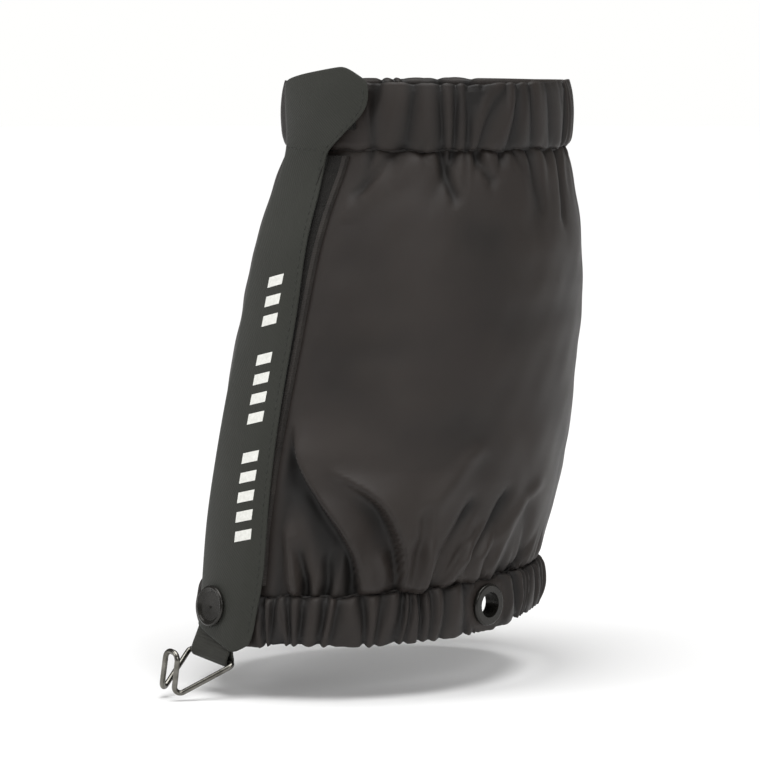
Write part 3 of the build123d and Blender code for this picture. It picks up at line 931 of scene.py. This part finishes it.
def flap_fabric():
    dark, light = linear(42, 43, 38), linear(47, 48, 43)
    return woven("flap_fabric_cloth", dark, light, 0.45, 0.04, 0.62, 0.08, twill=True).material


def fuzzy_tape(name, dark, light, coarse):
    """Hook or loop tape: a dense pile of fibres."""
    nodes = Nodes(name)
    place = nodes.add("ShaderNodeTexCoord")
    vector = place.outputs["Object"]
    nodes.join(tinted(nodes, vector, dark, light, 400.0), nodes.shader.inputs["Base Color"])
    pile = nodes.add("ShaderNodeTexVoronoi", Scale=coarse)
    nodes.join(vector, pile.inputs["Vector"])
    bumped(nodes, pile.outputs["Distance"], 0.4)
    nodes.set(Roughness=0.9, Sheen_Weight=0.05, Sheen_Roughness=0.6, Specular_IOR_Level=0.15)
    return nodes.material


def ribbed(name, dark, light, rib_mm, from_uv=True):
    """Webbing, binding or elastic: close ribs with a fine thread noise."""
    nodes = Nodes(name)
    place = nodes.add("ShaderNodeTexCoord")
    vector = place.outputs["UV"] if from_uv else place.outputs["Object"]
    nodes.join(tinted(nodes, vector, dark, light, 120.0), nodes.shader.inputs["Base Color"])
    scale = 2 * np.pi / 20 / (rib_mm * MM)
    ribs = thread_waves(nodes, vector, scale, "Y" if from_uv else "Z")
    fuzz = nodes.add("ShaderNodeTexNoise", Scale=1500.0, Detail=2.0)
    nodes.join(vector, fuzz.inputs["Vector"])
    height = combine(nodes, "ADD", ribs, combine(nodes, "MULTIPLY", fuzz.outputs["Fac"], 0.5))
    bumped(nodes, height, 0.12)
    rough_drift(nodes, vector, 0.6, 0.78, 200.0)
    nodes.set(Sheen_Weight=0.06, Specular_IOR_Level=0.25)
    return nodes.material


def enamel():
    """Black enamel on brass fittings, rubbed a little brighter in places."""
    nodes = Nodes("black_enamel")
    place = nodes.add("ShaderNodeTexCoord")
    vector = place.outputs["Object"]
    colour = tinted(nodes, vector, linear(33, 32, 29), linear(42, 40, 37), 180.0)
    nodes.join(colour, nodes.shader.inputs["Base Color"])
    scuff = nodes.add("ShaderNodeTexNoise", Scale=700.0, Detail=5.0)
    nodes.join(vector, scuff.inputs["Vector"])
    bumped(nodes, scuff.outputs["Fac"], 0.02)
    rough_drift(nodes, vector, 0.2, 0.34, 350.0)
    nodes.set(Metallic=0.55, Specular_IOR_Level=0.6)
    return nodes.material


def wire_metal():
    """Black nickel wire: bright where light catches it, with fine drawn lines."""
    nodes = Nodes("black_nickel")
    place = nodes.add("ShaderNodeTexCoord")
    vector = place.outputs["Object"]
    colour = tinted(nodes, vector, linear(92, 90, 84), linear(128, 126, 120), 260.0)
    nodes.join(colour, nodes.shader.inputs["Base Color"])
    scuff = nodes.add("ShaderNodeTexNoise", Scale=1400.0, Detail=4.0)
    nodes.join(vector, scuff.inputs["Vector"])
    bumped(nodes, scuff.outputs["Fac"], 0.015)
    rough_drift(nodes, vector, 0.18, 0.32, 500.0)
    nodes.set(Metallic=1.0)
    return nodes.material


def print_ink():
    """Near-white print that lets the twill show faintly."""
    nodes = Nodes("print_ink_white")
    place = nodes.add("ShaderNodeTexCoord")
    vector = place.outputs["UV"]
    colour = tinted(nodes, vector, linear(222, 222, 216), linear(240, 240, 235), 700.0)
    nodes.join(colour, nodes.shader.inputs["Base Color"])
    weave = thread_waves(nodes, vector, 700.0, "DIAGONAL")
    bumped(nodes, weave, 0.04)
    nodes.set(Roughness=0.6)
    return nodes.material


def thread(name, dark, light):
    """Twisted sewing thread."""
    nodes = Nodes(name)
    place = nodes.add("ShaderNodeTexCoord")
    vector = place.outputs["Object"]
    nodes.join(tinted(nodes, vector, dark, light, 500.0), nodes.shader.inputs["Base Color"])
    twist = thread_waves(nodes, vector, 1500.0, "DIAGONAL")
    bumped(nodes, twist, 0.05)
    nodes.set(Roughness=0.55, Sheen_Weight=0.05, Specular_IOR_Level=0.3)
    return nodes.material


def floor_material():
    """A pale matt floor with a faint drift in its tone."""
    nodes = Nodes("studio_floor")
    place = nodes.add("ShaderNodeTexCoord")
    grain = nodes.add("ShaderNodeTexNoise", Scale=3.0, Detail=2.0)
    nodes.join(place.outputs["Object"], grain.inputs["Vector"])
    tone = nodes.add("ShaderNodeMapRange", To_Min=0.86, To_Max=0.9)
    nodes.join(grain.outputs["Fac"], tone.inputs["Value"])
    nodes.join(tone.outputs["Result"], nodes.shader.inputs["Base Color"])
    nodes.set(Roughness=0.95, Specular_IOR_Level=0.0)
    return nodes.material


# ---------------------------------------------------------------- build


def dress_cad(materials):
    """Gives every CAD node that stays in view its finished material."""
    for node, material in materials.items():
        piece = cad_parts[node]
        piece.data.materials.clear()
        piece.data.materials.append(material)


def lay_out():
    """Builds every piece, and says which nodes it replaces and the body it moves with."""
    cloth, channel, twill = body_fabric(), casing_fabric(), flap_fabric()
    hooks = fuzzy_tape("hook_tape_pile", linear(20, 19, 17), linear(30, 28, 26), 2200.0)
    loops = fuzzy_tape("loop_tape_pile", linear(22, 22, 20), linear(32, 31, 28), 1500.0)
    binding = ribbed("binding_tape", linear(38, 35, 33), linear(50, 46, 43), 0.6, from_uv=False)
    elastic = ribbed("knit_elastic", linear(20, 20, 19), linear(30, 29, 28), 1.0, from_uv=False)
    far_elastic = ribbed("knit_elastic_far", linear(20, 20, 19), linear(30, 29, 28), 1.0)
    web = ribbed("hook_webbing_cloth", linear(44, 44, 40), linear(54, 54, 49), 1.3)
    metal, wire, ink = enamel(), wire_metal(), print_ink()
    sewing = thread("sewing_thread", linear(34, 31, 29), linear(42, 39, 36))
    flap_sewing = thread("flap_thread", linear(44, 45, 41), linear(50, 51, 47))

    dress = {
        "front_facing": channel,
        "hook_tape": hooks,
        "cuff_hook_patch": hooks,
        "loop_tape": loops,
        "cuff_loop_patch": loops,
        "placket_binding": binding,
        "rear_seam_binding": binding,
        "lace_hook": wire,
    }
    dress["near_cuff_elastic"] = elastic
    dress["near_hem_elastic"] = elastic
    for side in ("near", "far"):
        dress[f"{side}_grommet"] = metal
        dress[f"{side}_grommet_washer"] = metal
        dress[f"{side}_eyelet_patch"] = binding
    for node in ("snap_stud", "snap_post", "snap_cap", "snap_socket"):
        dress[node] = metal
    dress_cad(dress)

    for part, front, upwards in (
        ("cuff", FAR_CUFF_ELASTIC_FRONT, True),
        ("hem", FAR_HEM_ELASTIC_FRONT, False),
    ):
        band = finish_piece(elastic_band(f"far_{part}_elastic_band", -1, front, upwards), far_elastic)
        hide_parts(f"far_{part}_elastic")
        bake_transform(band)

    rng = random.Random(11)
    halves = (
        ("near", 1, NEAR_FRONT, NEAR_CUFF_FRONT, NEAR_HEM_FRONT, near_folds),
        ("far", -1, FAR_FRONT, FAR_CUFF_FRONT, FAR_HEM_FRONT, far_folds),
    )
    for side, sign, front, cuff_front, hem_front, folds in halves:
        gathers = [
            Gathers(sorted((arc(0), arc(sign * np.pi))), rng, pitch, roundness)
            for arc, (pitch, roundness) in ((arc_cuff, CUFF_GATHERS), (arc_hem, HEM_GATHERS))
        ]
        body = finish_piece(body_cloth(f"{side}_body_cloth", sign, front, folds, gathers, rng), cloth)
        cuff = casing(f"{side}_cuff_cloth", sign, cuff_front, gathers[0], rng, True, CUFF_PLEATS)
        hem = casing(f"{side}_hem_cloth", sign, hem_front, gathers[1], rng, False, HEM_PLEATS)
        finish_piece(cuff, channel)
        finish_piece(hem, channel)
        cuff_line = finish_piece(
            line_on_form(f"{side}_cuff_stitches", sign, 12.0 * sign, CUFF_LINE, 1.5), sewing
        )
        hem_line = finish_piece(
            line_on_form(f"{side}_hem_stitches", sign, 16.0 * sign, HEM_LINE, 1.5, True), sewing
        )
        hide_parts(f"{side}_panel")
        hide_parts(f"{side}_cuff")
        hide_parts(f"{side}_hem")
        for piece in (body, cuff, hem, cuff_line, hem_line):
            if sign > 0:
                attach(piece, "near_half")
            else:
                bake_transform(piece)

    flap = finish_piece(flap_cloth(), twill)
    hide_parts("flap", "flap_seam")
    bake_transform(flap)

    bars = finish_piece(print_bars(), ink)
    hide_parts("flap_print")
    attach(bars, "front_flap")

    edge = finish_piece(line_on_flap("flap_edge_stitches", free_edge_places(1.7, 2.0, 200.0)), flap_sewing)
    cross = [(x, 176.2) for x in np.linspace(-14, 8.0, 40)]
    band = finish_piece(line_on_flap("flap_cuff_stitches", cross), flap_sewing)
    for piece in (edge, band):
        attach(piece, "front_flap")

    strap = finish_piece(webbing(), web)
    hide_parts("hook_tab_anchor", "hook_tab_loop")
    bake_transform(strap)


def facing(aim, place):
    """The turn that points a lamp or a camera at a place towards its aim."""
    return (Vector(aim) - Vector(place)).to_track_quat("-Z", "Y").to_euler()


# Metres, except for the camera's lens.
FLOOR_GAP = 0.002
FLOOR_RADIUS = 7.0
LIT_MIDDLE = (0, 0, 0.09)
CAMERA_PLACE = (0.9842, -0.8293, 0.2216)
CAMERA_AIM = (-0.0030, 0.0062, 0.0884)
CAMERA_LENS = 163.6


def studio():
    """A pale floor, a white surround, soft lights, and the camera."""
    place = (0, 0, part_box("lace_hook")[0].z - FLOOR_GAP)
    bpy.ops.mesh.primitive_circle_add(vertices=96, radius=FLOOR_RADIUS, fill_type="NGON", location=place)
    floor = bpy.context.object
    floor.name = "studio_floor"
    floor.data.materials.append(floor_material())

    world = bpy.data.worlds.new("studio")
    bpy.context.scene.world = world
    world.use_nodes = True
    tree = world.node_tree
    seen = tree.nodes["Background"]
    seen.inputs["Color"].default_value = (1, 1, 0.99, 1)
    seen.inputs["Strength"].default_value = 1.0
    fill = tree.nodes.new("ShaderNodeBackground")
    fill.inputs["Color"].default_value = (1, 0.99, 0.97, 1)
    fill.inputs["Strength"].default_value = 0.18
    rays = tree.nodes.new("ShaderNodeLightPath")
    mix = tree.nodes.new("ShaderNodeMixShader")
    tree.links.new(rays.outputs["Is Camera Ray"], mix.inputs["Fac"])
    tree.links.new(fill.outputs["Background"], mix.inputs[1])
    tree.links.new(seen.outputs["Background"], mix.inputs[2])
    tree.links.new(mix.outputs["Shader"], tree.nodes["World Output"].inputs["Surface"])
    bpy.context.scene.view_settings.view_transform = "Standard"

    for name, place, size, power in (
        ("light_right", (1.35, -0.45, 0.75), 0.4, 4.6),
        ("light_left", (-0.55, -1.3, 0.8), 0.6, 5.0),
    ):
        lamp = bpy.data.lights.new(name, "AREA")
        lamp.size = size
        lamp.energy = power
        light = bpy.data.objects.new(name, lamp)
        light.location = place
        light.rotation_euler = facing(LIT_MIDDLE, place)
        bpy.context.scene.collection.objects.link(light)

    sky = bpy.data.lights.new("light_sky", "SUN")
    sky.energy = 3.1
    sky.angle = 0.9
    overhead = bpy.data.objects.new("light_sky", sky)
    overhead.rotation_euler = facing((0, 0, 0), (0.12, -0.05, 1.0))
    bpy.context.scene.collection.objects.link(overhead)

    lens = bpy.data.cameras.new("camera")
    lens.lens = CAMERA_LENS
    lens.clip_end = 50.0
    camera = bpy.data.objects.new("camera", lens)
    camera.location = CAMERA_PLACE
    camera.rotation_euler = facing(CAMERA_AIM, CAMERA_PLACE)
    bpy.context.scene.collection.objects.link(camera)
    bpy.context.scene.camera = camera


lay_out()
studio()
